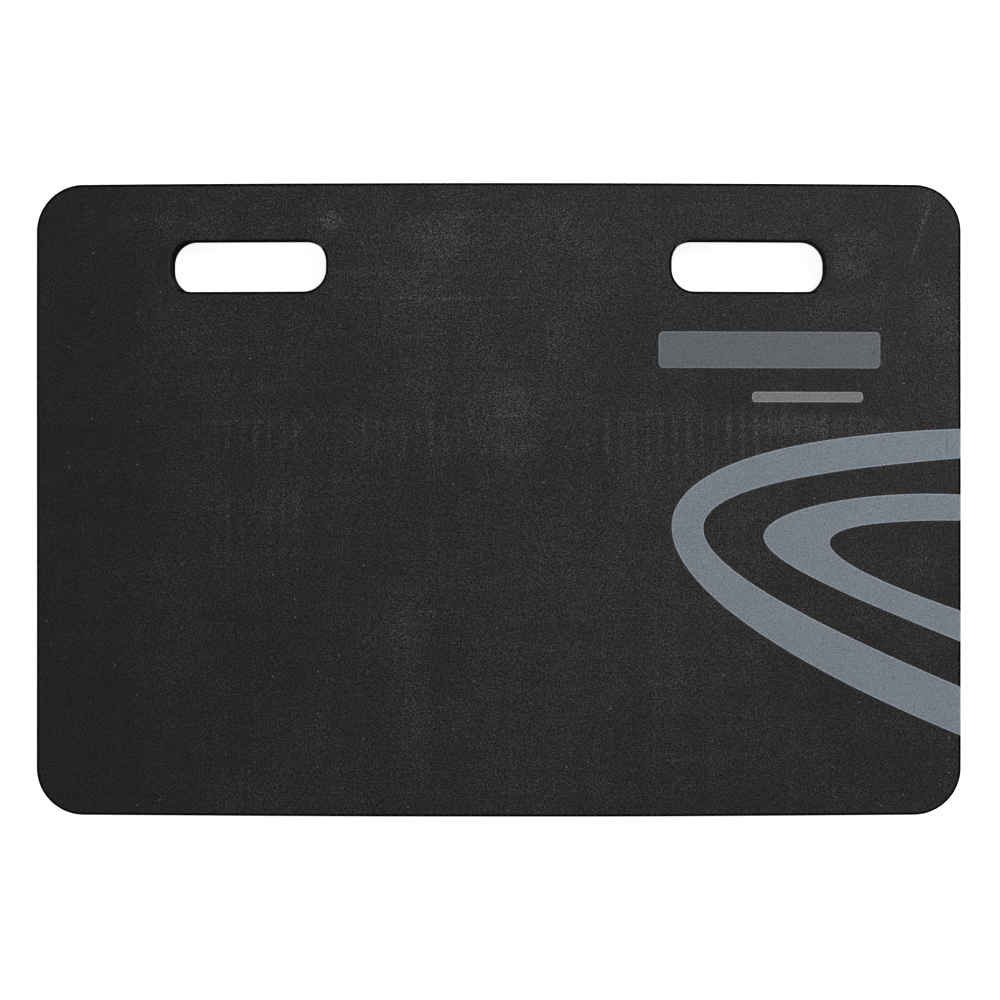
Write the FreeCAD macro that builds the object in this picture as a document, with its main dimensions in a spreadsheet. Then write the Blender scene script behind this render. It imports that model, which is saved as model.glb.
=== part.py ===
import FreeCAD, Part
import math
import os

import Sketcher
from FreeCAD import Vector

# Kneeling pad: a slab of closed-cell foam with a denser skin on both faces, two hand slots
# cut through it near one long edge, and a screen print on the upper skin.
#
# The frame is in millimetres. The origin is the middle of the underside. +X runs along the
# long side, +Y points at the edge with the hand slots, and +Z points up, out of the print.

PARTS_FOLDER = "parts"

# Alias, value in millimetres, what it is.
DIMENSIONS = [
    ("pad_length", 533, "long side of the pad"),
    ("pad_width", 363, "short side of the pad"),
    ("corner_radius", 27, "radius of the four corners"),
    ("core_thickness", 23, "foam between the two skins"),
    ("skin_thickness", 1, "denser skin on each face"),
    ("slot_length", 90.5, "hand slot, along X"),
    ("slot_height", 30, "hand slot, along Y"),
    ("slot_radius", 13, "corners of a hand slot"),
    ("slot_spacing", 290, "middle of one hand slot to the middle of the other"),
    ("slot_to_edge", 47, "middle of a hand slot to the edge of the pad"),
    ("ink_thickness", 0.2, "thickness of the screen print"),
    ("label_left", 92, "left end of the label bar"),
    ("label_bar_length", 128, "label bar, along X"),
    ("label_bar_height", 21, "label bar, along Y"),
    ("label_bar_middle", 86, "middle of the label bar above the middle of the pad"),
    ("label_bar_radius", 3, "corners of the label bar"),
    ("label_line_left", 146, "left end of the thin bar"),
    ("label_line_length", 64, "thin bar, along X"),
    ("label_line_height", 6, "thin bar, along Y"),
    ("label_line_middle", 59, "middle of the thin bar above the middle of the pad"),
    ("label_line_radius", 2, "corners of the thin bar"),
]

# Each printed band lies between two hairpin curves. A hairpin starts on the pad's right-hand
# edge, at height "top", is drawn round its nose by its handles, and comes back to that edge
# at height "bottom". The handles are the control points of a cubic spline, as (X, Y).
HAIRPINS = {
    "outer_band_outside": {"top": 41, "handles": [(42, 33), (46, -44)], "bottom": -136},
    "outer_band_inside": {"top": 24, "handles": [(58, 7), (79, -27)], "bottom": -108},
    "inner_band_outside": {"top": 3, "handles": [(212, 6), (103, -15), (194, -52)], "bottom": -82},
    "inner_band_inside": {"top": -12, "handles": [(166, -11), (165, -29)], "bottom": -64},
}

START, END, CENTRE = 1, 2, 3
ORIGIN = (-1, 1)


def hairpin_rows(name):
    """Spreadsheet rows of one hairpin: its two heights and the place of each handle."""
    hairpin = HAIRPINS[name]
    what = name.replace("_", " ")
    rows = [
        (f"{name}_top", hairpin["top"], f"{what}: start on the edge"),
        (f"{name}_bottom", hairpin["bottom"], f"{what}: end on the edge"),
    ]
    for number, (x, y) in enumerate(hairpin["handles"], start=1):
        rows.append((f"{name}_{number}_x", x, f"{what}: handle {number}, X"))
        rows.append((f"{name}_{number}_y", y, f"{what}: handle {number}, Y"))
    return rows


def make_sheet(doc):
    """Spreadsheet with one row for each driving dimension."""
    rows = list(DIMENSIONS)
    for name in HAIRPINS:
        rows += hairpin_rows(name)
    sheet = doc.addObject("Spreadsheet::Sheet", "Dimensions")
    for row, (alias, value, meaning) in enumerate(rows, start=1):
        sheet.set(f"A{row}", meaning)
        sheet.set(f"B{row}", str(value))
        sheet.setAlias(f"B{row}", alias)
    doc.recompute()
    return sheet


def cell(formula):
    """Expression in which each word that is an alias reads its cell of the sheet."""
    words = formula.split()
    return " ".join(f"Dimensions.{word}" if word[0].isalpha() else word for word in words)


def origin_plane(body, role):
    """One of the body's own origin planes, by its role."""
    return next(plane for plane in body.Origin.OriginFeatures if plane.Role == role)


def new_body(doc, name, height):
    """Empty body whose sketches lie at the given height, an expression."""
    body = doc.addObject("PartDesign::Body", name)
    body.Label = name
    body.setExpression("Placement.Base.z", cell(height))
    return body


def new_sketch(body, name):
    """Empty sketch on the body's own XY plane."""
    sketch = body.newObject("Sketcher::SketchObject", name)
    sketch.AttachmentSupport = (origin_plane(body, "XY_Plane"), "")
    sketch.MapMode = "FlatFace"
    return sketch


def constrain(sketch, *arguments):
    """Constraint with no size of its own."""
    sketch.addConstraint(Sketcher.Constraint(*arguments))


def dimension(sketch, name, formula, value, *arguments):
    """Named constraint whose size is bound to the sheet."""
    index = sketch.addConstraint(Sketcher.Constraint(*arguments, value))
    sketch.renameConstraint(index, name)
    sketch.setExpression(f"Constraints.{name}", cell(formula))


def draw_rounded_rectangle(sketch, length, width, radius, right, top):
    """Rounded rectangle. Its sizes, its right side's X and its top side's Y are formulas.

    It is drawn as a rounded square about the origin, and the constraints give it its size.
    """
    side, round_off = 100.0, 10.0
    inner = side - round_off
    ends = [
        (Vector(-inner, -side), Vector(inner, -side)),
        (Vector(side, -inner), Vector(side, inner)),
        (Vector(inner, side), Vector(-inner, side)),
        (Vector(-side, inner), Vector(-side, -inner)),
    ]
    corners = [
        Vector(inner, -inner),
        Vector(inner, inner),
        Vector(-inner, inner),
        Vector(-inner, -inner),
    ]
    lines = [sketch.addGeometry(Part.LineSegment(start, end)) for start, end in ends]
    arcs = []
    for number, corner in enumerate(corners):
        circle = Part.Circle(corner, Vector(0, 0, 1), round_off)
        start_angle = (number - 1) * math.pi / 2
        arc = Part.ArcOfCircle(circle, start_angle, start_angle + math.pi / 2)
        arcs.append(sketch.addGeometry(arc))
    for number, line in enumerate(lines):
        constrain(sketch, "Tangent", line, END, arcs[number], START)
        constrain(sketch, "Tangent", arcs[number], END, lines[(number + 1) % 4], START)
    bottom_line, right_line, top_line, left_line = lines
    constrain(sketch, "Horizontal", bottom_line)
    constrain(sketch, "Horizontal", top_line)
    constrain(sketch, "Vertical", right_line)
    constrain(sketch, "Vertical", left_line)
    for arc in arcs[1:]:
        constrain(sketch, "Equal", arcs[0], arc)
    dimension(sketch, "radius", radius, round_off, "Radius", arcs[0])
    dimension(sketch, "length", length, 2 * side, "DistanceX", left_line, START, right_line, START)
    dimension(sketch, "width", width, 2 * side, "DistanceY", bottom_line, START, top_line, START)
    dimension(sketch, "right", right, side, "DistanceX", *ORIGIN, right_line, START)
    dimension(sketch, "top", top, side, "DistanceY", *ORIGIN, top_line, START)


def draw_hairpin(sketch, sheet, name):
    """Cubic spline from the pad's right-hand edge, round its nose and back to the edge.

    Each control point has a marker, a construction circle whose radius is the point's weight.
    """
    hairpin = HAIRPINS[name]
    edge = float(sheet.pad_length) / 2
    poles = [Vector(edge, hairpin["top"])]
    poles += [Vector(x, y) for x, y in hairpin["handles"]]
    poles += [Vector(edge, hairpin["bottom"])]
    formulas = [("pad_length / 2", f"{name}_top")]
    for number in range(1, len(hairpin["handles"]) + 1):
        formulas.append((f"{name}_{number}_x", f"{name}_{number}_y"))
    formulas.append(("pad_length / 2", f"{name}_bottom"))

    curve = sketch.addGeometry(Part.BSplineCurve(poles, None, None, False, 3, None, False))
    markers = [sketch.addGeometry(Part.Circle(pole, Vector(0, 0, 1), 1), True) for pole in poles]
    alignment = "InternalAlignment:Sketcher::BSplineControlPoint"
    for number, marker in enumerate(markers):
        constrain(sketch, alignment, marker, CENTRE, curve, number)
    constrain(sketch, "Weight", markers[0], 1.0)
    for marker in markers[1:]:
        constrain(sketch, "Equal", markers[0], marker)
    for number, (marker, pole, formula) in enumerate(zip(markers, poles, formulas)):
        x_formula, y_formula = formula
        prefix = f"{name}_{number}"
        dimension(sketch, f"{prefix}_x", x_formula, pole.x, "DistanceX", *ORIGIN, marker, CENTRE)
        dimension(sketch, f"{prefix}_y", y_formula, pole.y, "DistanceY", *ORIGIN, marker, CENTRE)
    return curve


def pad_out(body, sketch, thickness):
    """Solid that stands on the sketch."""
    pad = body.newObject("PartDesign::Pad", f"{body.Name}_pad")
    pad.Profile = sketch
    pad.setExpression("Length", cell(thickness))
    body.Tip = pad
    return pad


def make_foam_layer(doc, name, height, thickness):
    """Layer of the slab: a rounded rectangle with both hand slots cut through."""
    body = new_body(doc, name, height)
    outline = new_sketch(body, f"{name}_outline")
    draw_rounded_rectangle(
        outline, "pad_length", "pad_width", "corner_radius", "pad_length / 2", "pad_width / 2"
    )
    pad_out(body, outline, thickness)

    slot = new_sketch(body, f"{name}_slot")
    draw_rounded_rectangle(
        slot,
        "slot_length",
        "slot_height",
        "slot_radius",
        "( slot_spacing + slot_length ) / 2",
        "pad_width / 2 - slot_to_edge + slot_height / 2",
    )
    pocket = body.newObject("PartDesign::Pocket", f"{name}_slot_cut")
    pocket.Profile = slot
    pocket.Type = "ThroughAll"
    pocket.Reversed = True

    other_slot = body.newObject("PartDesign::Mirrored", f"{name}_other_slot")
    other_slot.Originals = [pocket]
    other_slot.MirrorPlane = (origin_plane(body, "YZ_Plane"), [""])
    body.Tip = other_slot
    return body


def make_band_print(doc, sheet, name, side_outside, side_inside):
    """Ink film between two hairpins, cut off straight at the pad's right-hand edge."""
    body = new_body(doc, name, "core_thickness + 2 * skin_thickness")
    sketch = new_sketch(body, f"{name}_outline")
    outside = draw_hairpin(sketch, sheet, side_outside)
    inside = draw_hairpin(sketch, sheet, side_inside)
    for end in (START, END):
        cut = Part.LineSegment(sketch.getPoint(outside, end), sketch.getPoint(inside, end))
        edge = sketch.addGeometry(cut)
        constrain(sketch, "Coincident", edge, START, outside, end)
        constrain(sketch, "Coincident", edge, END, inside, end)
    pad_out(body, sketch, "ink_thickness")
    return body


def make_bar_print(doc, name, prefix, left):
    """Ink film with the shape of a plain bar with rounded corners."""
    body = new_body(doc, name, "core_thickness + 2 * skin_thickness")
    sketch = new_sketch(body, f"{name}_outline")
    draw_rounded_rectangle(
        sketch,
        f"{prefix}_length",
        f"{prefix}_height",
        f"{prefix}_radius",
        f"{left} + {prefix}_length",
        f"{prefix}_middle + {prefix}_height / 2",
    )
    pad_out(body, sketch, "ink_thickness")
    return body


def rounded_area(length, width, radius):
    """Area of a rounded rectangle."""
    return length * width - (4 - math.pi) * radius**2


def check_document(doc):
    """Stop if any object failed to build, or a sketch could still move."""
    for item in doc.Objects:
        if {"Invalid", "Error"} & set(item.State):
            raise RuntimeError(f"{item.Label}: {item.State}")
        if item.isDerivedFrom("Sketcher::SketchObject") and not item.FullyConstrained:
            raise RuntimeError(f"{item.Label}: not fully constrained")


def check_layer(sheet, body, thickness):
    """Stop if a layer isn't one solid of the outline's area less both slots."""
    outline = rounded_area(sheet.pad_length, sheet.pad_width, sheet.corner_radius)
    slot = rounded_area(sheet.slot_length, sheet.slot_height, sheet.slot_radius)
    expected = float((outline - 2 * slot) * thickness)
    if abs(body.Shape.Volume / expected - 1) > 1e-5:
        raise RuntimeError(f"{body.Label}: volume {body.Shape.Volume}, expected {expected}")


def export(bodies):
    """Write each sub-part to its own STEP file, once all of them are sound."""
    for body in bodies:
        shape = body.Shape
        if shape.isNull() or not shape.isValid() or len(shape.Solids) != 1:
            raise RuntimeError(f"{body.Label}: not one valid solid")
    os.makedirs(PARTS_FOLDER, exist_ok=True)
    for body in bodies:
        body.Shape.exportStep(os.path.join(PARTS_FOLDER, f"{body.Label}.step"))
        box = body.Shape.BoundBox
        print(f"{body.Label}: Z {box.ZMin:.2f} to {box.ZMax:.2f}, volume {body.Shape.Volume:.0f}")


def main():
    doc = FreeCAD.newDocument("KneelingPad")
    sheet = make_sheet(doc)
    bottom_skin = make_foam_layer(doc, "bottom_skin", "0", "skin_thickness")
    core = make_foam_layer(doc, "foam_core", "skin_thickness", "core_thickness")
    top_skin = make_foam_layer(doc, "top_skin", "skin_thickness + core_thickness", "skin_thickness")
    prints = [
        make_band_print(doc, sheet, "outer_band_print", "outer_band_outside", "outer_band_inside"),
        make_band_print(doc, sheet, "inner_band_print", "inner_band_outside", "inner_band_inside"),
        make_bar_print(doc, "label_bar_print", "label_bar", "label_left"),
        make_bar_print(doc, "label_line_print", "label_line", "label_line_left"),
    ]
    doc.recompute()
    check_document(doc)
    check_layer(sheet, bottom_skin, sheet.skin_thickness)
    check_layer(sheet, core, sheet.core_thickness)
    check_layer(sheet, top_skin, sheet.skin_thickness)
    export([bottom_skin, core, top_skin] + prints)


main()
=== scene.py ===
import math

import bmesh
import bpy
import numpy as np
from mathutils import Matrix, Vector, geometry, noise


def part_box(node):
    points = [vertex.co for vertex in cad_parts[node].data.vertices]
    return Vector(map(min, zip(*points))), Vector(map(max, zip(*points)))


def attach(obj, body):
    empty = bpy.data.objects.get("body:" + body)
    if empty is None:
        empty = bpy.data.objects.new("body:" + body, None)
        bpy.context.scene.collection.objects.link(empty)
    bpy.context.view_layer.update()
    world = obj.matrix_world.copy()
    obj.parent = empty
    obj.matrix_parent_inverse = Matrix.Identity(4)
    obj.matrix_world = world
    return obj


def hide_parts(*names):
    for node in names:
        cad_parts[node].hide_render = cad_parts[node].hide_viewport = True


# Kneeling pad: a black closed-cell foam slab with two hand slots and a grey screen print.
# Lengths are in millimetres while a mesh is worked out, and in metres once it is built.

MM = 0.001
# Two lengths in the frame that differ by less are the same length.
TOLERANCE = 0.01
# A corner of the upper face that is this far inside the outline belongs to a hand slot.
SLOT_DEPTH = 5

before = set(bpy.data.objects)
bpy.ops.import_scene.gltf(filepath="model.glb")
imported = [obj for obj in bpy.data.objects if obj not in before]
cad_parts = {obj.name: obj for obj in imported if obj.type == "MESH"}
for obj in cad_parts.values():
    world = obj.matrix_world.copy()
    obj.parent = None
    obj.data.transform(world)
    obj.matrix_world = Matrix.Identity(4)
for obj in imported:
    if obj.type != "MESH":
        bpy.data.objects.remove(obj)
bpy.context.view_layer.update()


# ---------------------------------------------------------------------------------------
# Outlines, read from the frame
# ---------------------------------------------------------------------------------------


def node_points(name):
    """Corners of a CAD node's mesh."""
    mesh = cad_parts[name].data
    points = np.empty(len(mesh.vertices) * 3)
    mesh.vertices.foreach_get("co", points)
    return points.reshape(-1, 3) / MM


class RoundedRectangle:
    """Outline with round corners. A hole's outline has side = -1, so insets make it larger."""

    def __init__(self, points, side=1):
        self.low = points[:, :2].min(axis=0)
        self.high = points[:, :2].max(axis=0)
        on_right = points[np.abs(points[:, 0] - self.high[0]) < TOLERANCE]
        self.radius = float(self.high[1] - on_right[:, 1].max())
        self.middle = (self.low + self.high) / 2
        self.half = (self.high - self.low) / 2
        self.side = side

    def depth(self, x, y):
        """Distance from the outline to each point, positive on the foam's side."""
        reach = self.half - self.radius
        dx = np.abs(x - self.middle[0]) - reach[0]
        dy = np.abs(y - self.middle[1]) - reach[1]
        outside = np.hypot(np.maximum(dx, 0), np.maximum(dy, 0))
        inside = np.minimum(np.maximum(dx, dy), 0)
        return -self.side * (outside + inside - self.radius)

    def loop(self, step):
        """Points round the outline, and their normals, which point away from the foam."""
        reach = self.half - self.radius
        corner_count = max(6, math.ceil(self.radius * math.pi / 2 / step))
        points, normals = [], []
        for quarter, signs in enumerate([(1, 1), (-1, 1), (-1, -1), (1, -1)]):
            turn = (quarter + np.arange(corner_count + 1) / corner_count) * math.pi / 2
            arc = np.column_stack([np.cos(turn), np.sin(turn)])
            points.append(self.middle + reach * signs + self.radius * arc)
            normals.append(arc)
            run = 2 * reach[quarter % 2]
            run_count = max(2, math.ceil(run / step))
            shares = np.arange(1, run_count)[:, None] / run_count
            along = np.array([-arc[-1][1], arc[-1][0]])
            points.append(points[-1][-1] + shares * run * along)
            normals.append(np.repeat(arc[-1:], run_count - 1, axis=0))
        points, normals = np.vstack(points), np.vstack(normals)
        if self.side < 0:
            return points[::-1], -normals[::-1]
        return points, normals


top_points = node_points("top_skin")
outline = RoundedRectangle(top_points)
hole_points = top_points[outline.depth(top_points[:, 0], top_points[:, 1]) > SLOT_DEPTH]
slots = [
    RoundedRectangle(hole_points[hole_points[:, 0] < 0], side=-1),
    RoundedRectangle(hole_points[hole_points[:, 0] > 0], side=-1),
]
edges = [outline, *slots]

CORE_LOW, CORE_HIGH = (corner.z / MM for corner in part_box("foam_core"))
PAD_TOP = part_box("top_skin")[1].z / MM
HALF_LENGTH, HALF_WIDTH = outline.half


def foam_depth(x, y):
    """Distance to the nearest edge of the pad or of a hand slot, positive on the foam."""
    return np.minimum.reduce([edge.depth(x, y) for edge in edges])


# ---------------------------------------------------------------------------------------
# Shape of the surfaces
# ---------------------------------------------------------------------------------------

# Ribs that a corrugated carton has pressed and rubbed into the upper face: their spacing, their
# height, and their rows, as left end, right end, lower end, upper end and strength.
RIB_PITCH = 7.8
RIB_DEPTH = 0.08
RIB_ROWS = [
    (-163, -114, 22, 45, 1.4),
    (-88, -16, 22, 48, 1.0),
    (56, 150, 14, 50, 1.55),
    (150, 214, 26, 51, 1.1),
    (-163, -114, -58, 6, 0.9),
    (118, 150, 0, 20, 0.5),
]

# How far each long edge bulges at mid-length.
BOW = 1.3


def bowed(points):
    """Points of the flat pad, moved so that its long edges bulge a little at mid-length."""
    points = np.array(points)
    share = 1 - (points[:, 0] / HALF_LENGTH) ** 2
    points[:, 1] += BOW * share * points[:, 1] / HALF_WIDTH
    return points


def smooth(low, high, value):
    """0 below low, 1 above high, and an S-curve between."""
    share = np.clip((value - low) / (high - low), 0, 1)
    return share * share * (3 - 2 * share)


def perlin(x, y, z, size):
    """Smooth noise between about -1 and 1, whose lumps are about size across."""
    points = zip(np.asarray(x) / size, np.asarray(y) / size, np.broadcast_to(z, np.shape(x)) / size)
    return np.array([noise.noise(point) for point in points])


def rib_height(x, y):
    """Relief of the carton's ribs. Each row fades out over a few millimetres at its ends."""
    crest = (0.5 + 0.5 * np.cos(2 * math.pi * x / RIB_PITCH)) ** 2
    height = np.zeros_like(x)
    for left, right, low, high, strength in RIB_ROWS:
        across = smooth(left - 4, left + 4, x) * (1 - smooth(right - 4, right + 4, x))
        along = smooth(low - 6, low + 8, y) * (1 - smooth(high - 3, high + 3, y))
        height += strength * across * along * crest
    return RIB_DEPTH * height


def face_relief(x, y):
    """How far the upper face stands above the flat sheet: long swells, small lumps and ribs."""
    swell = 0.22 * np.sin(x / 61 + 0.8) * np.sin(y / 47 - 0.4) + 0.12 * np.sin(x / 29 - y / 38)
    lumps = 0.10 * perlin(x, y, 3.0, 34) + 0.05 * perlin(x, y, 7.0, 13)
    return swell + lumps + rib_height(x, y)


# How a cut edge of the skin rolls over: distance in from the edge, drop below the face.
ROLLED_EDGE = [
    (0.0, 0.62),
    (0.05, 0.42),
    (0.16, 0.23),
    (0.36, 0.09),
    (0.7, 0.03),
    (1.05, 0.01),
    (1.5, 0.0),
]


def edge_drop(depth):
    """How far the rolled edge lies below the face, at each distance from the edge."""
    insets, drops = zip(*ROLLED_EDGE)
    return np.interp(depth, insets, drops)


# ---------------------------------------------------------------------------------------
# Mesh building
# ---------------------------------------------------------------------------------------

# Mesh attribute that is 1 on the rim of an ink film.
INK_RIM = "rim"


class MeshBuilder:
    """Collects points and faces, in millimetres, for one closed piece.

    rim_faces holds the numbers of the faces that lie on the dark rim of a skin, which is painted shade.
    """

    def __init__(self):
        self.points = []
        self.faces = []
        self.rim_faces = []

    def add_points(self, x, y, z):
        """Add points and return their numbers."""
        first = len(self.points)
        rows = np.column_stack([x, y, np.broadcast_to(z, np.shape(x))])
        self.points.extend(rows.tolist())
        return list(range(first, first + len(rows)))

    def add_wall(self, rings, shaded_quads=()):
        """Quads between each closed ring of points and the next, which has as many points.

        shaded_quads holds the numbers, round each ring, of the quads that are rim faces, painted dark as
        shade.
        """
        for lower, upper in zip(rings, rings[1:]):
            self.rim_faces += [len(self.faces) + int(number) for number in shaded_quads]
            next_lower = lower[1:] + lower[:1]
            next_upper = upper[1:] + upper[:1]
            self.faces.extend(zip(lower, next_lower, next_upper, upper))

    def add_fill(self, rings, loose):
        """Triangles inside a closed ring of points, over loose points and round inner rings."""
        numbers = [number for ring in rings for number in ring] + loose
        flat = [Vector(self.points[number][:2]) for number in numbers]
        sides = []
        first = 0
        for ring in rings:
            last = first + len(ring) - 1
            sides += [(i, i + 1) for i in range(first, last)] + [(last, first)]
            first = last + 1
        corners, _, triangles, origins, _, _ = geometry.delaunay_2d_cdt(flat, sides, [], 0, 1e-6)
        corners = np.array([tuple(corner) for corner in corners])
        triangles = np.array(triangles)
        x, y = corners[triangles].mean(axis=1).T
        kept = np.zeros(len(triangles), bool)
        for ring in rings:
            kept ^= inside_loop(np.array([self.points[number][:2] for number in ring]), x, y)
        names = np.array([numbers[origin[0]] for origin in origins])
        self.faces.extend(names[triangles[kept]].tolist())

    def build(self, name, ink_rim=()):
        """The finished Blender object: smooth shaded, its faces turned outwards.

        Its rim faces take its second material. ink_rim holds the numbers of the points that
        lie on the rim of an ink film.
        """
        mesh = bpy.data.meshes.new(name)
        points = bowed(self.points) * MM
        mesh.from_pydata(points.tolist(), [], self.faces)
        for number in self.rim_faces:
            mesh.polygons[number].material_index = 1
        shape = bmesh.new()
        shape.from_mesh(mesh)
        bmesh.ops.recalc_face_normals(shape, faces=shape.faces)
        shape.to_mesh(mesh)
        shape.free()
        mesh.shade_smooth()
        if ink_rim:
            shares = np.zeros(len(points), np.float32)
            shares[ink_rim] = 1.0
            mesh.attributes.new(INK_RIM, "FLOAT", "POINT").data.foreach_set("value", shares)
        piece = bpy.data.objects.new(name, mesh)
        bpy.context.scene.collection.objects.link(piece)
        return piece


def inside_loop(loop, x, y):
    """Whether each point is inside a closed loop."""
    inside = np.zeros(np.shape(x), bool)
    for (x0, y0), (x1, y1) in zip(loop, np.roll(loop, -1, axis=0)):
        if y0 != y1:
            inside ^= ((y0 > y) != (y1 > y)) & (x < (x1 - x0) * (y - y0) / (y1 - y0) + x0)
    return inside


def loose_points(low, high, step, depth, clearance):
    """Points of a triangular lattice that lie at least a clearance inside the depth function."""
    rows = np.arange(low[1], high[1], step * math.sqrt(0.75))
    columns = np.arange(low[0], high[0], step)
    x, y = np.meshgrid(columns, rows)
    x = x + np.where(np.arange(len(rows)) % 2, step / 2, 0)[:, None]
    x, y = x.ravel(), y.ravel()
    inside = depth(x, y) > clearance
    return x[inside], y[inside]


# ---------------------------------------------------------------------------------------
# The foam: a core between two skins
# ---------------------------------------------------------------------------------------

# Number of the ring of a skin's edge, counted from its hidden face, where its dark rim of painted shade
# starts.
RIM_START = 3
# Spacing of the points, along the edges and over the faces.
WALL_STEP = 1.05
SKIN_STEP = 1.6
SKIN_GRID = 1.75
UNDERSIDE_GRID = 4.0


def make_skin(name, inner_z, face_z, grid):
    """Skin whose hidden face lies at inner_z. face_z(x, y, drop) is the height of its open face.

    Its rim is painted dark, as painted shade of the rolled edge, on every edge that faces away from the
    pad's middle.
    """
    builder = MeshBuilder()
    hidden, rims = [], []
    for edge in edges:
        points, normals = edge.loop(SKIN_STEP)
        rings = [builder.add_points(points[:, 0], points[:, 1], inner_z)]
        for inset, drop in ROLLED_EDGE:
            x, y = (points - inset * normals).T
            rings.append(builder.add_points(x, y, face_z(x, y, drop)))
        # Painted shade on the rim quads of edges that face away from the pad's middle.
        shaded_quads = np.flatnonzero((points * normals).sum(axis=1) > 0)
        builder.add_wall(rings[: RIM_START + 1])
        builder.add_wall(rings[RIM_START:], shaded_quads)
        hidden.append(rings[0])
        rims.append(rings[-1])
    rim_depth = ROLLED_EDGE[-1][0]
    x, y = loose_points(outline.low, outline.high, grid, foam_depth, rim_depth + 0.5 * grid)
    loose = builder.add_points(x, y, face_z(x, y, 0))
    builder.add_fill(rims, loose)
    builder.add_fill(hidden, [])
    return builder.build(name)


def top_face(x, y, drop):
    """Height of the printed face."""
    return PAD_TOP + face_relief(x, y) - drop


def under_face(x, y, drop):
    """Height of the face that lies on the ground: it touches it, or stands a hair above it."""
    return 0.15 * np.maximum(perlin(x, y, 11.0, 45), 0) + drop


def wall_inset(points, z):
    """How far the cut wall of the core lies behind the outline, at one height.

    Foam is squeezed while it is cut, so its wall ends up hollow at half height.
    """
    height = (z - CORE_LOW) / (CORE_HIGH - CORE_LOW)
    middle = 4 * height * (1 - height)
    x, y = points.T
    waves = 0.5 + 0.5 * perlin(x, y, z * 0.3, 17)
    grain = perlin(x, y, z, 1.9) + 0.6 * perlin(x, y, z, 4.2)
    pits = smooth(0.35, 0.7, perlin(x + 50, y, z, 3.1))
    return 0.08 + middle * (0.3 + 0.35 * waves) + smooth(0, 0.3, middle) * (0.09 * grain + 0.3 * pits)


def make_core():
    """The foam between the skins."""
    builder = MeshBuilder()
    rows = np.linspace(CORE_LOW, CORE_HIGH, 1 + round((CORE_HIGH - CORE_LOW) / WALL_STEP))
    lowest, highest = [], []
    for edge in edges:
        points, normals = edge.loop(WALL_STEP)
        rings = []
        for z in rows:
            x, y = (points - wall_inset(points, z)[:, None] * normals).T
            rings.append(builder.add_points(x, y, z))
        builder.add_wall(rings)
        lowest.append(rings[0])
        highest.append(rings[-1])
    builder.add_fill(lowest, [])
    builder.add_fill(highest, [])
    return builder.build("foam_core_body")


# ---------------------------------------------------------------------------------------
# The screen print: ink films that follow the skin
# ---------------------------------------------------------------------------------------

# Spacing of the points, along the edges and over the films.
INK_STEP = 1.3
INK_GRID = 2.0
# A corner that turns by more than this is a real one, and not part of a faceted curve.
SHARP_TURN = math.radians(35)
# Section through the edge of a film: distance in from its edge, height above the skin.
INK_EDGE = [(0.0, -0.08), (0.02, 0.03), (0.12, 0.10), (0.36, 0.13), (0.62, 0.12), (0.80, 0.09)]


def face_outline(name):
    """Corners of the upper face of a CAD node, in order round it."""
    points = np.round(node_points(name), 3)
    top = points[:, 2].max()
    sides = set()
    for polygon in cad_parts[name].data.polygons:
        corners = [tuple(points[number]) for number in polygon.vertices]
        if all(corner[2] > top - TOLERANCE for corner in corners):
            sides.update(zip(corners, corners[1:] + corners[:1]))
    following = {a: b for a, b in sides if (b, a) not in sides}
    loop = [next(iter(sorted(following)))]
    while following[loop[-1]] != loop[0]:
        loop.append(following[loop[-1]])
    return np.array(loop)[:, :2]


def curve_through(knots, step):
    """Smooth curve through the knots, as points about a step apart, without its last knot."""
    gaps = np.linalg.norm(np.diff(knots, axis=0), axis=1)
    speeds = np.gradient(knots, np.concatenate([[0], np.cumsum(gaps)]), axis=0, edge_order=1)
    points = []
    for number, gap in enumerate(gaps):
        count = max(1, math.ceil(gap / step))
        share = np.arange(count)[:, None] / count
        start, end = knots[number], knots[number + 1]
        leave, arrive = speeds[number] * gap, speeds[number + 1] * gap
        points.append(
            (2 * share**3 - 3 * share**2 + 1) * start
            + (share**3 - 2 * share**2 + share) * leave
            + (3 * share**2 - 2 * share**3) * end
            + (share**3 - share**2) * arrive
        )
    return np.vstack(points)


def smooth_outline(corners, step):
    """Outline through the corners of a faceted one, smooth except at its sharp turns."""
    ahead = np.roll(corners, -1, axis=0) - corners
    headings = np.arctan2(ahead[:, 1], ahead[:, 0])
    turns = np.angle(np.exp(1j * (headings - np.roll(headings, 1))))
    sharp = np.flatnonzero(np.abs(turns) > SHARP_TURN)
    corners = np.roll(corners, -sharp[0], axis=0)
    sharp = np.append(sharp - sharp[0], len(corners))
    corners = np.vstack([corners, corners[:1]])
    return np.vstack([curve_through(corners[a : b + 1], step) for a, b in zip(sharp, sharp[1:])])


def loop_normals(loop):
    """Outward normals of a closed loop that runs anticlockwise."""
    along = np.roll(loop, -1, axis=0) - np.roll(loop, 1, axis=0)
    normals = np.column_stack([along[:, 1], -along[:, 0]])
    return normals / np.linalg.norm(normals, axis=1)[:, None]


def loop_depth(loop, x, y):
    """Distance to a closed loop, positive inside it."""
    nearest = np.full(np.shape(x), np.inf)
    for (x0, y0), (x1, y1) in zip(loop, np.roll(loop, -1, axis=0)):
        run_x, run_y = x1 - x0, y1 - y0
        share = np.clip(((x - x0) * run_x + (y - y0) * run_y) / (run_x**2 + run_y**2), 0, 1)
        nearest = np.minimum(nearest, np.hypot(x - x0 - share * run_x, y - y0 - share * run_y))
    return np.where(inside_loop(loop, x, y), nearest, -nearest)


def ink_level(x, y, height):
    """Height of a point of an ink film that stands a little above the skin."""
    return top_face(x, y, edge_drop(outline.depth(x, y))) + height


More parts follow.
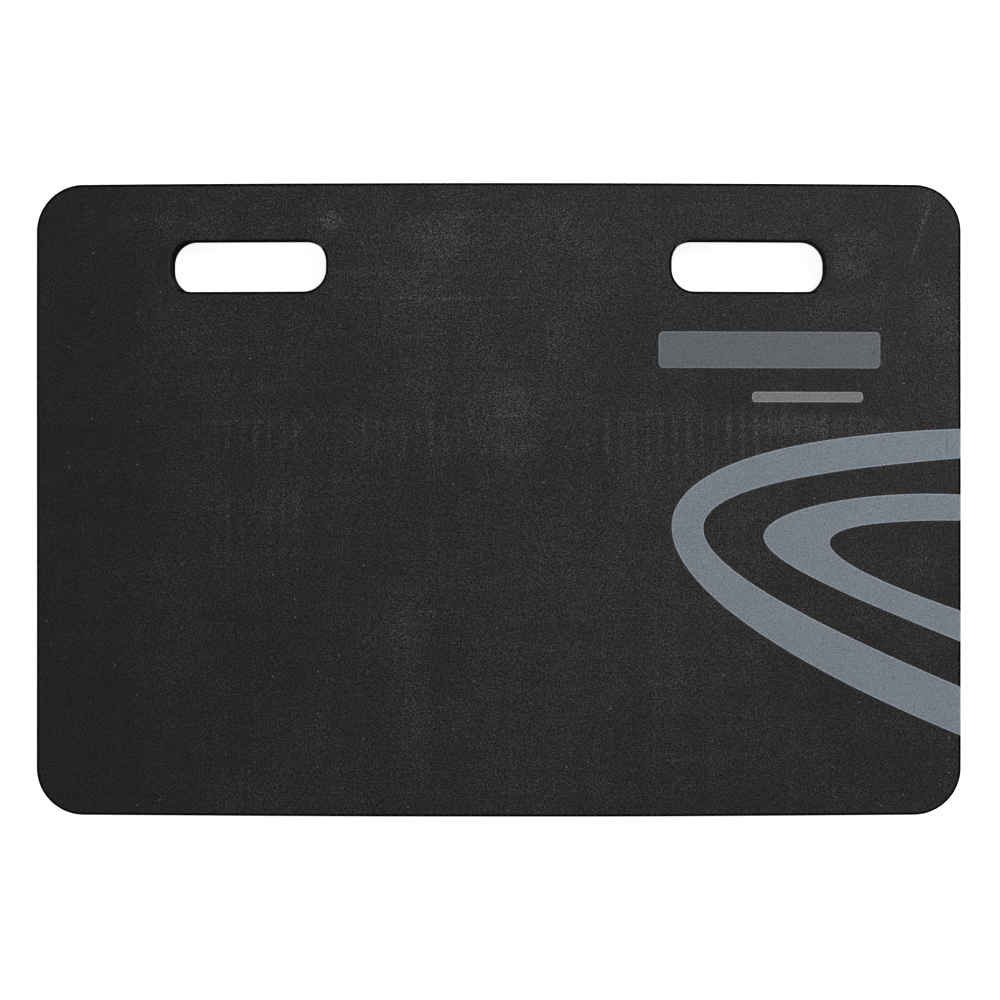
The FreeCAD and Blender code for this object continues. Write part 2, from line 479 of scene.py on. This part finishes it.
def make_film(name, loop, normals):
    """Ink film inside a closed loop."""
    builder = MeshBuilder()
    rings = []
    for inset, height in INK_EDGE:
        x, y = (loop - inset * normals).T
        rings.append(builder.add_points(x, y, ink_level(x, y, height)))
    builder.add_wall(rings)
    ink_rim = [number for ring in rings[:-1] for number in ring]
    rim_depth, body_height = INK_EDGE[-1]
    foot = INK_EDGE[0][1]

    def depth(x, y):
        return loop_depth(loop, x, y)

    low, high = loop.min(axis=0), loop.max(axis=0)
    x, y = loose_points(low, high, INK_GRID, depth, rim_depth + 0.4 * INK_GRID)
    loose = builder.add_points(x, y, ink_level(x, y, body_height))
    builder.add_fill(rings[-1:], loose)
    x, y = loose_points(low, high, INK_GRID, depth, 0.4 * INK_GRID)
    loose = builder.add_points(x, y, ink_level(x, y, foot))
    builder.add_fill(rings[:1], loose)
    return builder.build(name, ink_rim)


def make_band(name, node):
    """Printed band with the outline of its CAD node."""
    loop = smooth_outline(face_outline(node), INK_STEP)
    return make_film(name, loop, loop_normals(loop))


def make_bar(name, node):
    """Printed bar with the outline of its CAD node."""
    loop, normals = RoundedRectangle(node_points(node)).loop(INK_STEP)
    return make_film(name, loop, normals)


top_skin = make_skin("top_skin_sheet", CORE_HIGH, top_face, SKIN_GRID)
bottom_skin = make_skin("bottom_skin_sheet", CORE_LOW, under_face, UNDERSIDE_GRID)
core = make_core()
outer_band = make_band("outer_band_ink", "outer_band_print")
inner_band = make_band("inner_band_ink", "inner_band_print")
label_bar = make_bar("label_bar_ink", "label_bar_print")
label_line = make_bar("label_line_ink", "label_line_print")


# ---------------------------------------------------------------------------------------
# Materials
# ---------------------------------------------------------------------------------------


class Field:
    """A number or vector that shader nodes work out at each point of a surface."""

    def __init__(self, tree, socket):
        self.tree = tree
        self.socket = socket

    def feed(self, socket, value):
        """Link a field to a socket, or set the socket to a constant."""
        if isinstance(value, Field):
            self.tree.links.new(value.socket, socket)
        else:
            socket.default_value = value

    def math(self, operation, *others):
        """Result of a Math node, with this field as its first input."""
        node = self.tree.nodes.new("ShaderNodeMath")
        node.operation = operation
        for socket, value in zip(node.inputs, (self, *others)):
            self.feed(socket, value)
        return Field(self.tree, node.outputs[0])

    def __add__(self, other):
        return self.math("ADD", other)

    def __sub__(self, other):
        return self.math("SUBTRACT", other)

    def __mul__(self, other):
        return self.math("MULTIPLY", other)

    def stretch(self, factors):
        """This vector, each component multiplied by its own factor."""
        node = self.tree.nodes.new("ShaderNodeVectorMath")
        node.operation = "MULTIPLY"
        self.feed(node.inputs[0], self)
        node.inputs[1].default_value = factors
        return Field(self.tree, node.outputs[0])

    def ramp(self, low, high, low_value=0.0, high_value=1.0):
        """S-curve from low_value, where this field is low, to high_value, where it is high."""
        node = self.tree.nodes.new("ShaderNodeMapRange")
        node.interpolation_type = "SMOOTHSTEP"
        settings = (self, low, high, low_value, high_value)
        for socket, value in zip(node.inputs, settings):
            self.feed(socket, value)
        return Field(self.tree, node.outputs[0])

    def noise(self, size, detail=2.0, roughness=0.5):
        """Cloudy noise from 0 to 1 at this position, its lumps about size across."""
        node = self.tree.nodes.new("ShaderNodeTexNoise")
        self.feed(node.inputs["Vector"], self)
        node.inputs["Scale"].default_value = 1 / size
        node.inputs["Detail"].default_value = detail
        node.inputs["Roughness"].default_value = roughness
        return Field(self.tree, node.outputs["Fac"])

    def cells(self, size, output="Distance", dimensions="3D"):
        """Distance to the nearest cell centre, in cells, or that cell's random colour."""
        node = self.tree.nodes.new("ShaderNodeTexVoronoi")
        node.voronoi_dimensions = dimensions
        self.feed(node.inputs["Vector"], self)
        node.inputs["Scale"].default_value = 1 / size
        return Field(self.tree, node.outputs[output])

    def parts(self):
        """X, Y and Z of this vector, or red, green and blue of this colour."""
        node = self.tree.nodes.new("ShaderNodeSeparateXYZ")
        self.feed(node.inputs[0], self)
        return [Field(self.tree, output) for output in node.outputs]

    def tint(self, low_colour, high_colour):
        """Colour between two colours, by this number from 0 to 1."""
        node = self.tree.nodes.new("ShaderNodeMix")
        node.data_type = "RGBA"
        self.feed(node.inputs["Factor"], self)
        colours = [socket for socket in node.inputs if socket.type == "RGBA"]
        for socket, colour in zip(colours, (low_colour, high_colour)):
            self.feed(socket, colour if isinstance(colour, Field) else (*colour, 1.0))
        outputs = [socket for socket in node.outputs if socket.type == "RGBA"]
        return Field(self.tree, outputs[0])


def ink_rim_share(tree):
    """1 on the rim of an ink film and 0 on the rest of it, as stored in the mesh."""
    node = tree.nodes.new("ShaderNodeAttribute")
    node.attribute_name = INK_RIM
    return Field(tree, node.outputs["Fac"])


SHEEN_ROUGHNESS = 0.6


def new_material(name, sheen, specular):
    """An empty matt material, its shader node, and the place on the surface in millimetres."""
    material = bpy.data.materials.new(name)
    material.use_nodes = True
    tree = material.node_tree
    shader = tree.nodes["Principled BSDF"]
    shader.inputs["Specular IOR Level"].default_value = specular
    shader.inputs["Sheen Weight"].default_value = sheen
    shader.inputs["Sheen Roughness"].default_value = SHEEN_ROUGHNESS
    place = tree.nodes.new("ShaderNodeTexCoord")
    metres = Field(tree, place.outputs["Object"])
    return material, shader, metres.stretch((1 / MM, 1 / MM, 1 / MM))


def finish_material(shader, colour, roughness, height, depth):
    """Set the shader's colour, roughness and bump. depth is what a height of 1 is worth."""
    tree = colour.tree
    colour.feed(shader.inputs["Base Color"], colour)
    colour.feed(shader.inputs["Roughness"], roughness)
    bump = tree.nodes.new("ShaderNodeBump")
    bump.inputs["Strength"].default_value = 1.0
    bump.inputs["Distance"].default_value = depth * MM
    colour.feed(bump.inputs["Height"], height)
    tree.links.new(bump.outputs["Normal"], shader.inputs["Normal"])


def patch(x, y, left, right, low, high, soft):
    """1 inside a rectangle and 0 outside it, with soft sides."""
    across = x.ramp(left - soft, left + soft) * x.ramp(right - soft, right + soft, 1.0, 0.0)
    return across * y.ramp(low - soft, low + soft) * y.ramp(high - soft, high + soft, 1.0, 0.0)


def ellipse(x, y, middle_x, middle_y, half_length, half_height):
    """1 at the middle of an ellipse, fading to 0 at its rim."""
    across = (x - middle_x) * (1 / half_length)
    along = (y - middle_y) * (1 / half_height)
    return (across * across + along * along).ramp(0.0, 1.0, 1.0, 0.0)


def line(x, y, start, end, half_width):
    """1 on the middle of a straight scratch, fading to 0 at its sides and ends."""
    length = math.dist(start, end)
    ahead_x, ahead_y = (end[0] - start[0]) / length, (end[1] - start[1]) / length
    along = (x - start[0]) * ahead_x + (y - start[1]) * ahead_y
    across = (y - start[1]) * ahead_x - (x - start[0]) * ahead_y
    taper = 0.2 * length
    ends = along.ramp(0, taper) * along.ramp(length - taper, length, 1.0, 0.0)
    return across.math("ABSOLUTE").ramp(0.3 * half_width, half_width, 1.0, 0.0) * ends


# Colours of the skin, of a cut wall and of a skin's rim, whose darkness is painted shade, before their
# grain is added.
COOL_FOAM = (0.0076, 0.0080, 0.0083)
WARM_FOAM = (0.0083, 0.0078, 0.0078)
CUT_COLOUR = (0.0062, 0.0062, 0.0063)
DARKEST_EDGE_SHADE, LIGHTEST_EDGE_SHADE = (0.0012, 0.0012, 0.0012), (0.0042, 0.0042, 0.0043)
# The skin and the wall multiply their colour by a level, and this is the highest one they show.
BRIGHTEST = 24.0
# Sizes of the skin's grain and of its pale flecks, which are partly grain and partly painted
# glints, and of the beads of foam that show through it.
GRAIN_SIZE, FLECK_AND_GLINT_SIZE, BEAD_PITCH = 0.75, 0.62, 0.95
# The upper face is darker at its left end and paler towards the slots. This is painted shade
# and painted light for the fall of light across it: where the change starts and ends, and the
# factors there.
LEFT_END_PAINTED_SHADE, SLOT_SIDE_PAINTED_LIGHT = (-235, -165, 0.6, 1.0), (60, 165, 1.0, 1.2)
# Stray pale specks: size of the cells that may hold one, radii where it fades, level added.
SPECK_GAP, SPECK_CORE, SPECK_EDGE, SPECK_LEVEL = 13.0, 0.25, 0.5, 22.0

# Rubbed patches of the upper face: middle x, middle y, half length, half height, strength.
SCUFFS = [
    (-97, 161, 10, 7, 1.3),
    (-34, 151, 32, 19, 0.36),
    (28, 158, 30, 17, 0.3),
    (-18, 165, 12, 7, 0.3),
    (-200, 158, 38, 12, 0.3),
    (203, 136, 14, 13, 0.6),
    (196, 110, 20, 9, 0.4),
    (208, 150, 20, 8, 0.4),
    (251, 112, 9, 14, 0.32),
    (246, -34, 18, 14, 0.35),
    (190, 43, 56, 9, 0.9),
    (4, 44, 30, 34, 0.12),
]
# Broad areas that are a little lighter or darker: middle x, middle y, half length, half height,
# strength. Some are the foam's own uneven tone, and some are painted light and shade, darker at
# the corners and lower left and lighter towards the upper right, as the light falls across it.
TONES_AND_PAINTED_LIGHT = [
    (-10, 125, 85, 120, 0.24),
    (40, 0, 230, 170, 0.16),
    (250, 85, 60, 60, 0.22),
    (-52, -110, 19, 110, 0.34),
    (-6, -110, 12, 100, 0.12),
    (96, -130, 14, 85, 0.16),
    (262, -180, 120, 120, -0.14),
    (262, 178, 70, 60, -0.08),
    (-262, 178, 110, 90, -0.3),
    (-193, 136, 7, 16, -0.45),
    (224, 168, 20, 15, -0.2),
    (-262, -178, 110, 90, -0.04),
    (-200, -60, 200, 190, -0.14),
    (262, 30, 110, 110, 0.09),
]
# Lighter streaks and square rubs: left, right, low, high, softness, strength.
STREAKS = [
    (-62, 2, 115.0, 116.8, 0.9, 0.7),
    (-97, -62, 115.4, 116.6, 0.9, 0.3),
    (-97, -51, 130.3, 131.7, 0.9, 0.4),
    (-7, 24, 48.0, 49.4, 0.9, 1.0),
    (60, 150, 49.4, 50.8, 0.9, 0.5),
    (-172, -125, 44.4, 46.0, 0.9, 0.8),
    (-240, -60, 0.0, 1.4, 0.9, 0.25),
    (-160, 60, -66.0, -64.8, 0.9, 0.15),
    (150, 236, 41.0, 42.2, 0.9, 0.4),
    (-4, 23, 50.0, 64.0, 3.0, 0.2),
    (-2, 24, 16.0, 37.0, 3.0, 0.2),
]
# Scratches: start, end, half width, strength.
SCRATCHES = [
    ((250.5, 176), (236.5, 135), 0.9, 1.3),
    ((248, 179), (242, 146), 2.6, 0.5),
    ((245, 156), (237.5, 138), 1.0, 0.8),
    ((190, -152), (198, -158), 0.6, 1.2),
    ((-252, -12), (-247, 30), 0.7, 0.4),
    ((60, -150), (92, -161), 0.6, 0.3),
    ((-126, 30), (-105, 52), 2.0, 0.7),
]


def carton_marks(place, x, y):
    """Lighter marks that the pad's carton, and handling, have left on the upper face."""
    wander = (place.noise(14) - 0.5) * 1.6
    crest = ((x + wander) * (2 * math.pi / RIB_PITCH)).math("COSINE").ramp(0.0, 1.0)
    uneven = place.stretch((1 / 9, 1 / 60, 0.0)).noise(1.0).ramp(0.3, 0.6, 0.6, 1.15)
    marks = crest * 0.0
    for left, right, low, high, strength in RIB_ROWS:
        faded = y.ramp(low - 6, 0.6 * high + 0.4 * low)
        marks += patch(x, y, left, right, low - 6, high, 3.0) * faded * crest * uneven * (0.5 * strength)
    broken = place.noise(4.5, 3.0, 0.7).ramp(0.3, 0.7, 0.5, 1.5)
    for *shape, strength in SCUFFS:
        marks += ellipse(x, y, *shape) * broken * strength
    for *shape, strength in STREAKS:
        marks += patch(x, y, *shape) * broken * strength
    for start, end, half_width, strength in SCRATCHES:
        marks += line(x, y, start, end, half_width) * strength
    return marks


def drawn_out(place, sizes, detail):
    """Cloudy noise whose lumps have their own sizes along X, Y and Z."""
    return place.stretch([1 / size for size in sizes]).noise(1.0, detail)


def skin_material(name, marked):
    """Matt black foam skin: fine grain with painted glints, cloudy tone and stray specks; carton marks
    and painted light and shade when marked, dust when not.
    """
    material, shader, place = new_material(name, sheen=0.03, specular=0.2)
    x, y, _ = place.parts()
    grain = place.noise(GRAIN_SIZE, 2.0, 0.7)
    pebbles = place.noise(3.2, 1.0)
    clouds = place.noise(46, 4.0, 0.62).ramp(0.3, 0.7, 0.78, 1.22)
    brushed = drawn_out(place, (70, 1.6, 8), 3.0) + drawn_out(place, (1.8, 60, 8), 3.0)
    bands = drawn_out(place, (150, 9, 8), 2.0) + drawn_out(place, (11, 130, 8), 2.0)
    flecks_and_glints = place.cells(FLECK_AND_GLINT_SIZE, "Color").parts()[0]
    spread = (grain - 0.5) * 2.2 + (pebbles - 0.5) * 0.4 + (brushed - 1.0) * 0.5 + (bands - 1.0) * 0.5
    beads = place.cells(BEAD_PITCH, dimensions="2D").ramp(0.15, 0.6, 2.5, 0.0)
    # Pale flecks: grain, and painted glints.
    level = spread.math("EXPONENT") * beads * (flecks_and_glints * 1.5 + 0.25)
    if marked:
        level = level * (carton_marks(place, x, y) + 1.0)
        # Painted shade at the left end of the face, and painted light towards the slots.
        level = level * x.ramp(*LEFT_END_PAINTED_SHADE) * y.ramp(*SLOT_SIDE_PAINTED_LIGHT)
        # Broad tones: partly the foam's own, partly painted light and shade.
        for *shape, strength in TONES_AND_PAINTED_LIGHT:
            level = level * (ellipse(x, y, *shape) * strength + 1.0)
    else:
        level = level * place.noise(30, 5.0, 0.7).ramp(0.5, 0.72, 0.95, 1.6)
    level = level * clouds
    centre_distance = place.cells(SPECK_GAP, dimensions="2D")
    speck = centre_distance.ramp(SPECK_CORE / SPECK_GAP, SPECK_EDGE / SPECK_GAP, 1.0, 0.0)
    chosen = place.cells(SPECK_GAP, "Color", "2D").parts()[0].ramp(0.8, 1.1)
    level = level + speck * chosen * SPECK_LEVEL
    warmth = place.noise(32, 2.0) * 0.6 + x.ramp(-230, 230, 0.0, 0.4)
    cool, warm = ([BRIGHTEST * part for part in shade] for shade in (COOL_FOAM, WARM_FOAM))
    colour = (level * (1 / BRIGHTEST)).tint((0, 0, 0), warmth.ramp(0.3, 0.75).tint(cool, warm))
    roughness = grain.ramp(0.2, 0.8, 0.62, 0.78)
    finish_material(shader, colour, roughness, grain + pebbles * 0.5, 0.15)
    return material


def rolled_edge_shade_material():
    """Rolled edge of a skin, painted dark and without sheen or specular, as painted shade."""
    material, shader, place = new_material("foam_edge_painted_shade", sheen=0.0, specular=0.0)
    grain = place.noise(GRAIN_SIZE, 2.0, 0.7)
    colour = grain.ramp(0.2, 0.8).tint(DARKEST_EDGE_SHADE, LIGHTEST_EDGE_SHADE)
    finish_material(shader, colour, grain.ramp(0.2, 0.8, 0.85, 0.95), grain, 0.05)
    return material


# A cut wall nearer to the pad's middle than the first distance is inside a slot, and one that
# is farther than the second is an outer wall.
OUTER_X, OUTER_Y = (200, 250), (152, 170)
# The outer walls are lighter than the slot walls: partly dust, and partly painted shade that
# darkens the walls of the narrow slots. In the slots, painted light makes the wall at the far
# right lighter, and painted shade with dirt makes the walls darker lower down: where the change
# starts and ends, and the factors there.
DUSTY_OUTER_OVER_SHADED_SLOTS = 2.4
SLOT_PAINTED_LIGHT_ALONG_X, SLOT_SHADE_AND_DIRT_ALONG_Z = (160, 185, 1.3, 4.2), (1.5, 22.0, 0.25, 1.6)
PORE_SIZE, FINE_PORE_SIZE = 1.15, 0.6


def wall_material():
    """Cut foam: small open cells, drag lines of the blade, dust, and painted light and shade in the
    slots.
    """
    material, shader, place = new_material("foam_core_black", sheen=0.0, specular=0.0)
    x, y, z = place.parts()
    warped = place.stretch((1.0, 1.0, 1.25))
    pores = warped.cells(PORE_SIZE)
    fine = warped.cells(FINE_PORE_SIZE)
    large = warped.noise(3.4, 2.0).ramp(0.3, 0.65, 0.72, 1.2)
    drag = drawn_out(place, (2.2, 2.2, 40), 3.0).ramp(0.3, 0.7, 0.86, 1.18)
    dust = place.noise(22, 3.0, 0.6).ramp(0.3, 0.75, 0.8, 1.35)
    level = pores.ramp(0.12, 0.6, 0.3, 1.4) * fine.ramp(0.1, 0.5, 0.6, 1.25) * large * drag * dust
    outer = x.math("ABSOLUTE").ramp(*OUTER_X).math("MAXIMUM", y.math("ABSOLUTE").ramp(*OUTER_Y))
    # Painted light at the slots' far right end, painted shade and dirt lower down.
    slot_light_and_shade = x.ramp(*SLOT_PAINTED_LIGHT_ALONG_X) * z.ramp(*SLOT_SHADE_AND_DIRT_ALONG_Z)
    # Slot walls darker than the outer ones: painted shade in the slots, and dust outside.
    level = level * outer.ramp(0.0, 1.0, slot_light_and_shade, DUSTY_OUTER_OVER_SHADED_SLOTS)
    colour = (level * (1 / BRIGHTEST)).tint((0, 0, 0), [BRIGHTEST * part for part in CUT_COLOUR])
    finish_material(shader, colour, 0.9, pores + fine * 0.5, 0.25)
    return material


BAND_GREY = (0.1300, 0.1512, 0.1716)
LABEL_GREY = (0.079, 0.089, 0.097)
LABEL_LINE_GREY = (0.125, 0.128, 0.130)
# How much brighter the rim of an ink film is.
INK_RIM_GAIN = 0.42
# A crease across the wide band, near its upper right end, and the length over which it fades.
CREASE_X, CREASE_LOW, CREASE_HIGH, CREASE_FADE = 258.4, 23.5, 40.5, 2


def ink_material(name, colour, creased=False):
    """Matt screen-print ink that lets the grain of the skin show through."""
    material, shader, place = new_material(name, sheen=0.0, specular=0.15)
    x, y, _ = place.parts()
    grain = place.noise(GRAIN_SIZE, 2.0, 0.7)
    flecks_and_glints = place.cells(FLECK_AND_GLINT_SIZE, "Color").parts()[0]
    clouds = place.noise(26, 3.0, 0.6).ramp(0.25, 0.75, 0.965, 1.035)
    beads = place.cells(BEAD_PITCH, dimensions="2D").ramp(0.15, 0.6, 1.24, 0.84)
    # Pale flecks in the ink: grain, and painted glints.
    level = beads * ((grain - 0.5) * 0.3 + flecks_and_glints * 0.26 + 0.87) * clouds
    pinholes = place.noise(1.6, 2.0, 0.7).ramp(0.22, 0.3, 0.6, 1.0)
    level = level * pinholes
    level = level * (ink_rim_share(shader.id_data) * INK_RIM_GAIN + 1.0)
    if creased:
        across = (x - CREASE_X).math("ABSOLUTE").ramp(0.15, 0.4, 1.0, 0.0)
        along = y.ramp(CREASE_LOW, CREASE_LOW + CREASE_FADE)
        along = along * y.ramp(CREASE_HIGH - CREASE_FADE, CREASE_HIGH, 1.0, 0.0)
        level = level * (across * along * place.noise(2.5).ramp(0.3, 0.55) * -0.6 + 1.0)
    tinted = (level * 0.5).tint((0, 0, 0), [2 * part for part in colour])
    finish_material(shader, tinted, grain.ramp(0.2, 0.8, 0.66, 0.8), grain, 0.03)
    return material


def dress(piece, *materials):
    """Give a piece its material, and after it the material of its rim faces, if it has any."""
    for material in materials:
        piece.data.materials.append(material)


# The dark rim of both skins is painted shade.
edge_shade_material = rolled_edge_shade_material()
dress(top_skin, skin_material("foam_skin_upper", marked=True), edge_shade_material)
dress(bottom_skin, skin_material("foam_skin_under", marked=False), edge_shade_material)
dress(core, wall_material())
band_ink = ink_material("band_ink_grey", BAND_GREY, creased=True)
dress(outer_band, band_ink)
dress(inner_band, band_ink)
dress(label_bar, ink_material("label_ink_grey", LABEL_GREY))
dress(label_line, ink_material("label_line_ink_grey", LABEL_LINE_GREY))


# ---------------------------------------------------------------------------------------
# Stage, lights and camera
# ---------------------------------------------------------------------------------------

# The camera, in metres: its height above the printed face, its place in Y, and the width and
# the middle of its picture on that face. Its sensor is in millimetres.
CAMERA_HEIGHT = 1.2
CAMERA_Y = 0.050
VIEW_WIDTH = 0.5765
FRAME_MIDDLE = (0.0007, -0.0001)
SENSOR = 36.0
# Brightness of the room near its floor and overhead, and of the floor itself.
WALL_GLOW, CEILING_GLOW, FLOOR_GLOW = 1.05, 0.27, 0.85
# Half the side of the floor, in metres, and its height, a hair below the pad.
FLOOR_REACH, FLOOR_LEVEL = 25.0, -0.1 * MM
# Soft boxes on all sides: name, place and size in metres, power in watts, colour.
LAMPS = [
    ("key_upper_right", (0.85, 0.85, 1.25), 0.9, 31, (1.0, 0.965, 0.975)),
    ("fill_left", (-1.5, 0.1, 1.5), 1.2, 7.5, (0.97, 1.0, 0.99)),
    ("fill_front", (0.3, -1.5, 1.6), 1.2, 8, (1.0, 1.0, 1.0)),
]


def make_floor():
    """White sheet that the pad lies on. It glows, so that it stays white in the slots."""
    mesh = bpy.data.meshes.new("floor")
    signs = [(-1, -1), (1, -1), (1, 1), (-1, 1)]
    corners = [(x * FLOOR_REACH, y * FLOOR_REACH, FLOOR_LEVEL) for x, y in signs]
    mesh.from_pydata(corners, [], [(0, 1, 2, 3)])
    floor = bpy.data.objects.new("floor", mesh)
    bpy.context.scene.collection.objects.link(floor)
    material = bpy.data.materials.new("floor_white")
    material.use_nodes = True
    shader = material.node_tree.nodes["Principled BSDF"]
    shader.inputs["Base Color"].default_value = (0.6, 0.6, 0.6, 1.0)
    shader.inputs["Roughness"].default_value = 0.9
    shader.inputs["Specular IOR Level"].default_value = 0.1
    shader.inputs["Emission Color"].default_value = (1.0, 1.0, 1.0, 1.0)
    shader.inputs["Emission Strength"].default_value = FLOOR_GLOW
    dress(floor, material)


def add_area_light(name, place, size, power, colour):
    """Square lamp that faces the middle of the pad."""
    lamp = bpy.data.lights.new(name, "AREA")
    lamp.size = size
    lamp.energy = power
    lamp.color = colour
    light = bpy.data.objects.new(name, lamp)
    light.location = place
    light.rotation_euler = (-Vector(place)).to_track_quat("-Z", "Y").to_euler()
    bpy.context.scene.collection.objects.link(light)


def light_the_stage():
    """The lamps, the strongest at the upper right, in a room that is white near its floor."""
    for lamp in LAMPS:
        add_area_light(*lamp)
    world = bpy.data.worlds.new("studio")
    world.use_nodes = True
    tree = world.node_tree
    background = tree.nodes["Background"]
    background.inputs["Color"].default_value = (1.0, 1.0, 1.0, 1.0)
    upward = Field(tree, tree.nodes.new("ShaderNodeTexCoord").outputs["Generated"]).parts()[2]
    upward.feed(background.inputs["Strength"], upward.ramp(0.1, 0.5, WALL_GLOW, CEILING_GLOW))
    bpy.context.scene.world = world
    bpy.context.scene.view_settings.view_transform = "Standard"


def add_camera():
    """Camera straight above the pad, with the hand slots at the top of the picture."""
    camera = bpy.data.cameras.new("camera")
    camera.sensor_width = SENSOR
    camera.lens = SENSOR * CAMERA_HEIGHT / VIEW_WIDTH
    view = bpy.data.objects.new("camera", camera)
    camera.shift_y = (FRAME_MIDDLE[1] - CAMERA_Y) / VIEW_WIDTH
    view.location = (FRAME_MIDDLE[0], CAMERA_Y, PAD_TOP * MM + CAMERA_HEIGHT)
    bpy.context.scene.collection.objects.link(view)
    bpy.context.scene.camera = view


make_floor()
light_the_stage()
add_camera()


# ---------------------------------------------------------------------------------------
# What each piece stands for
# ---------------------------------------------------------------------------------------


def declare(piece, node):
    """The piece replaces its CAD node and moves with the pad."""
    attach(piece, "root")
    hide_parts(node)


declare(top_skin, "top_skin")
declare(bottom_skin, "bottom_skin")
declare(core, "foam_core")
declare(outer_band, "outer_band_print")
declare(inner_band, "inner_band_print")
declare(label_bar, "label_bar_print")
declare(label_line, "label_line_print")

bpy.context.view_layer.update()
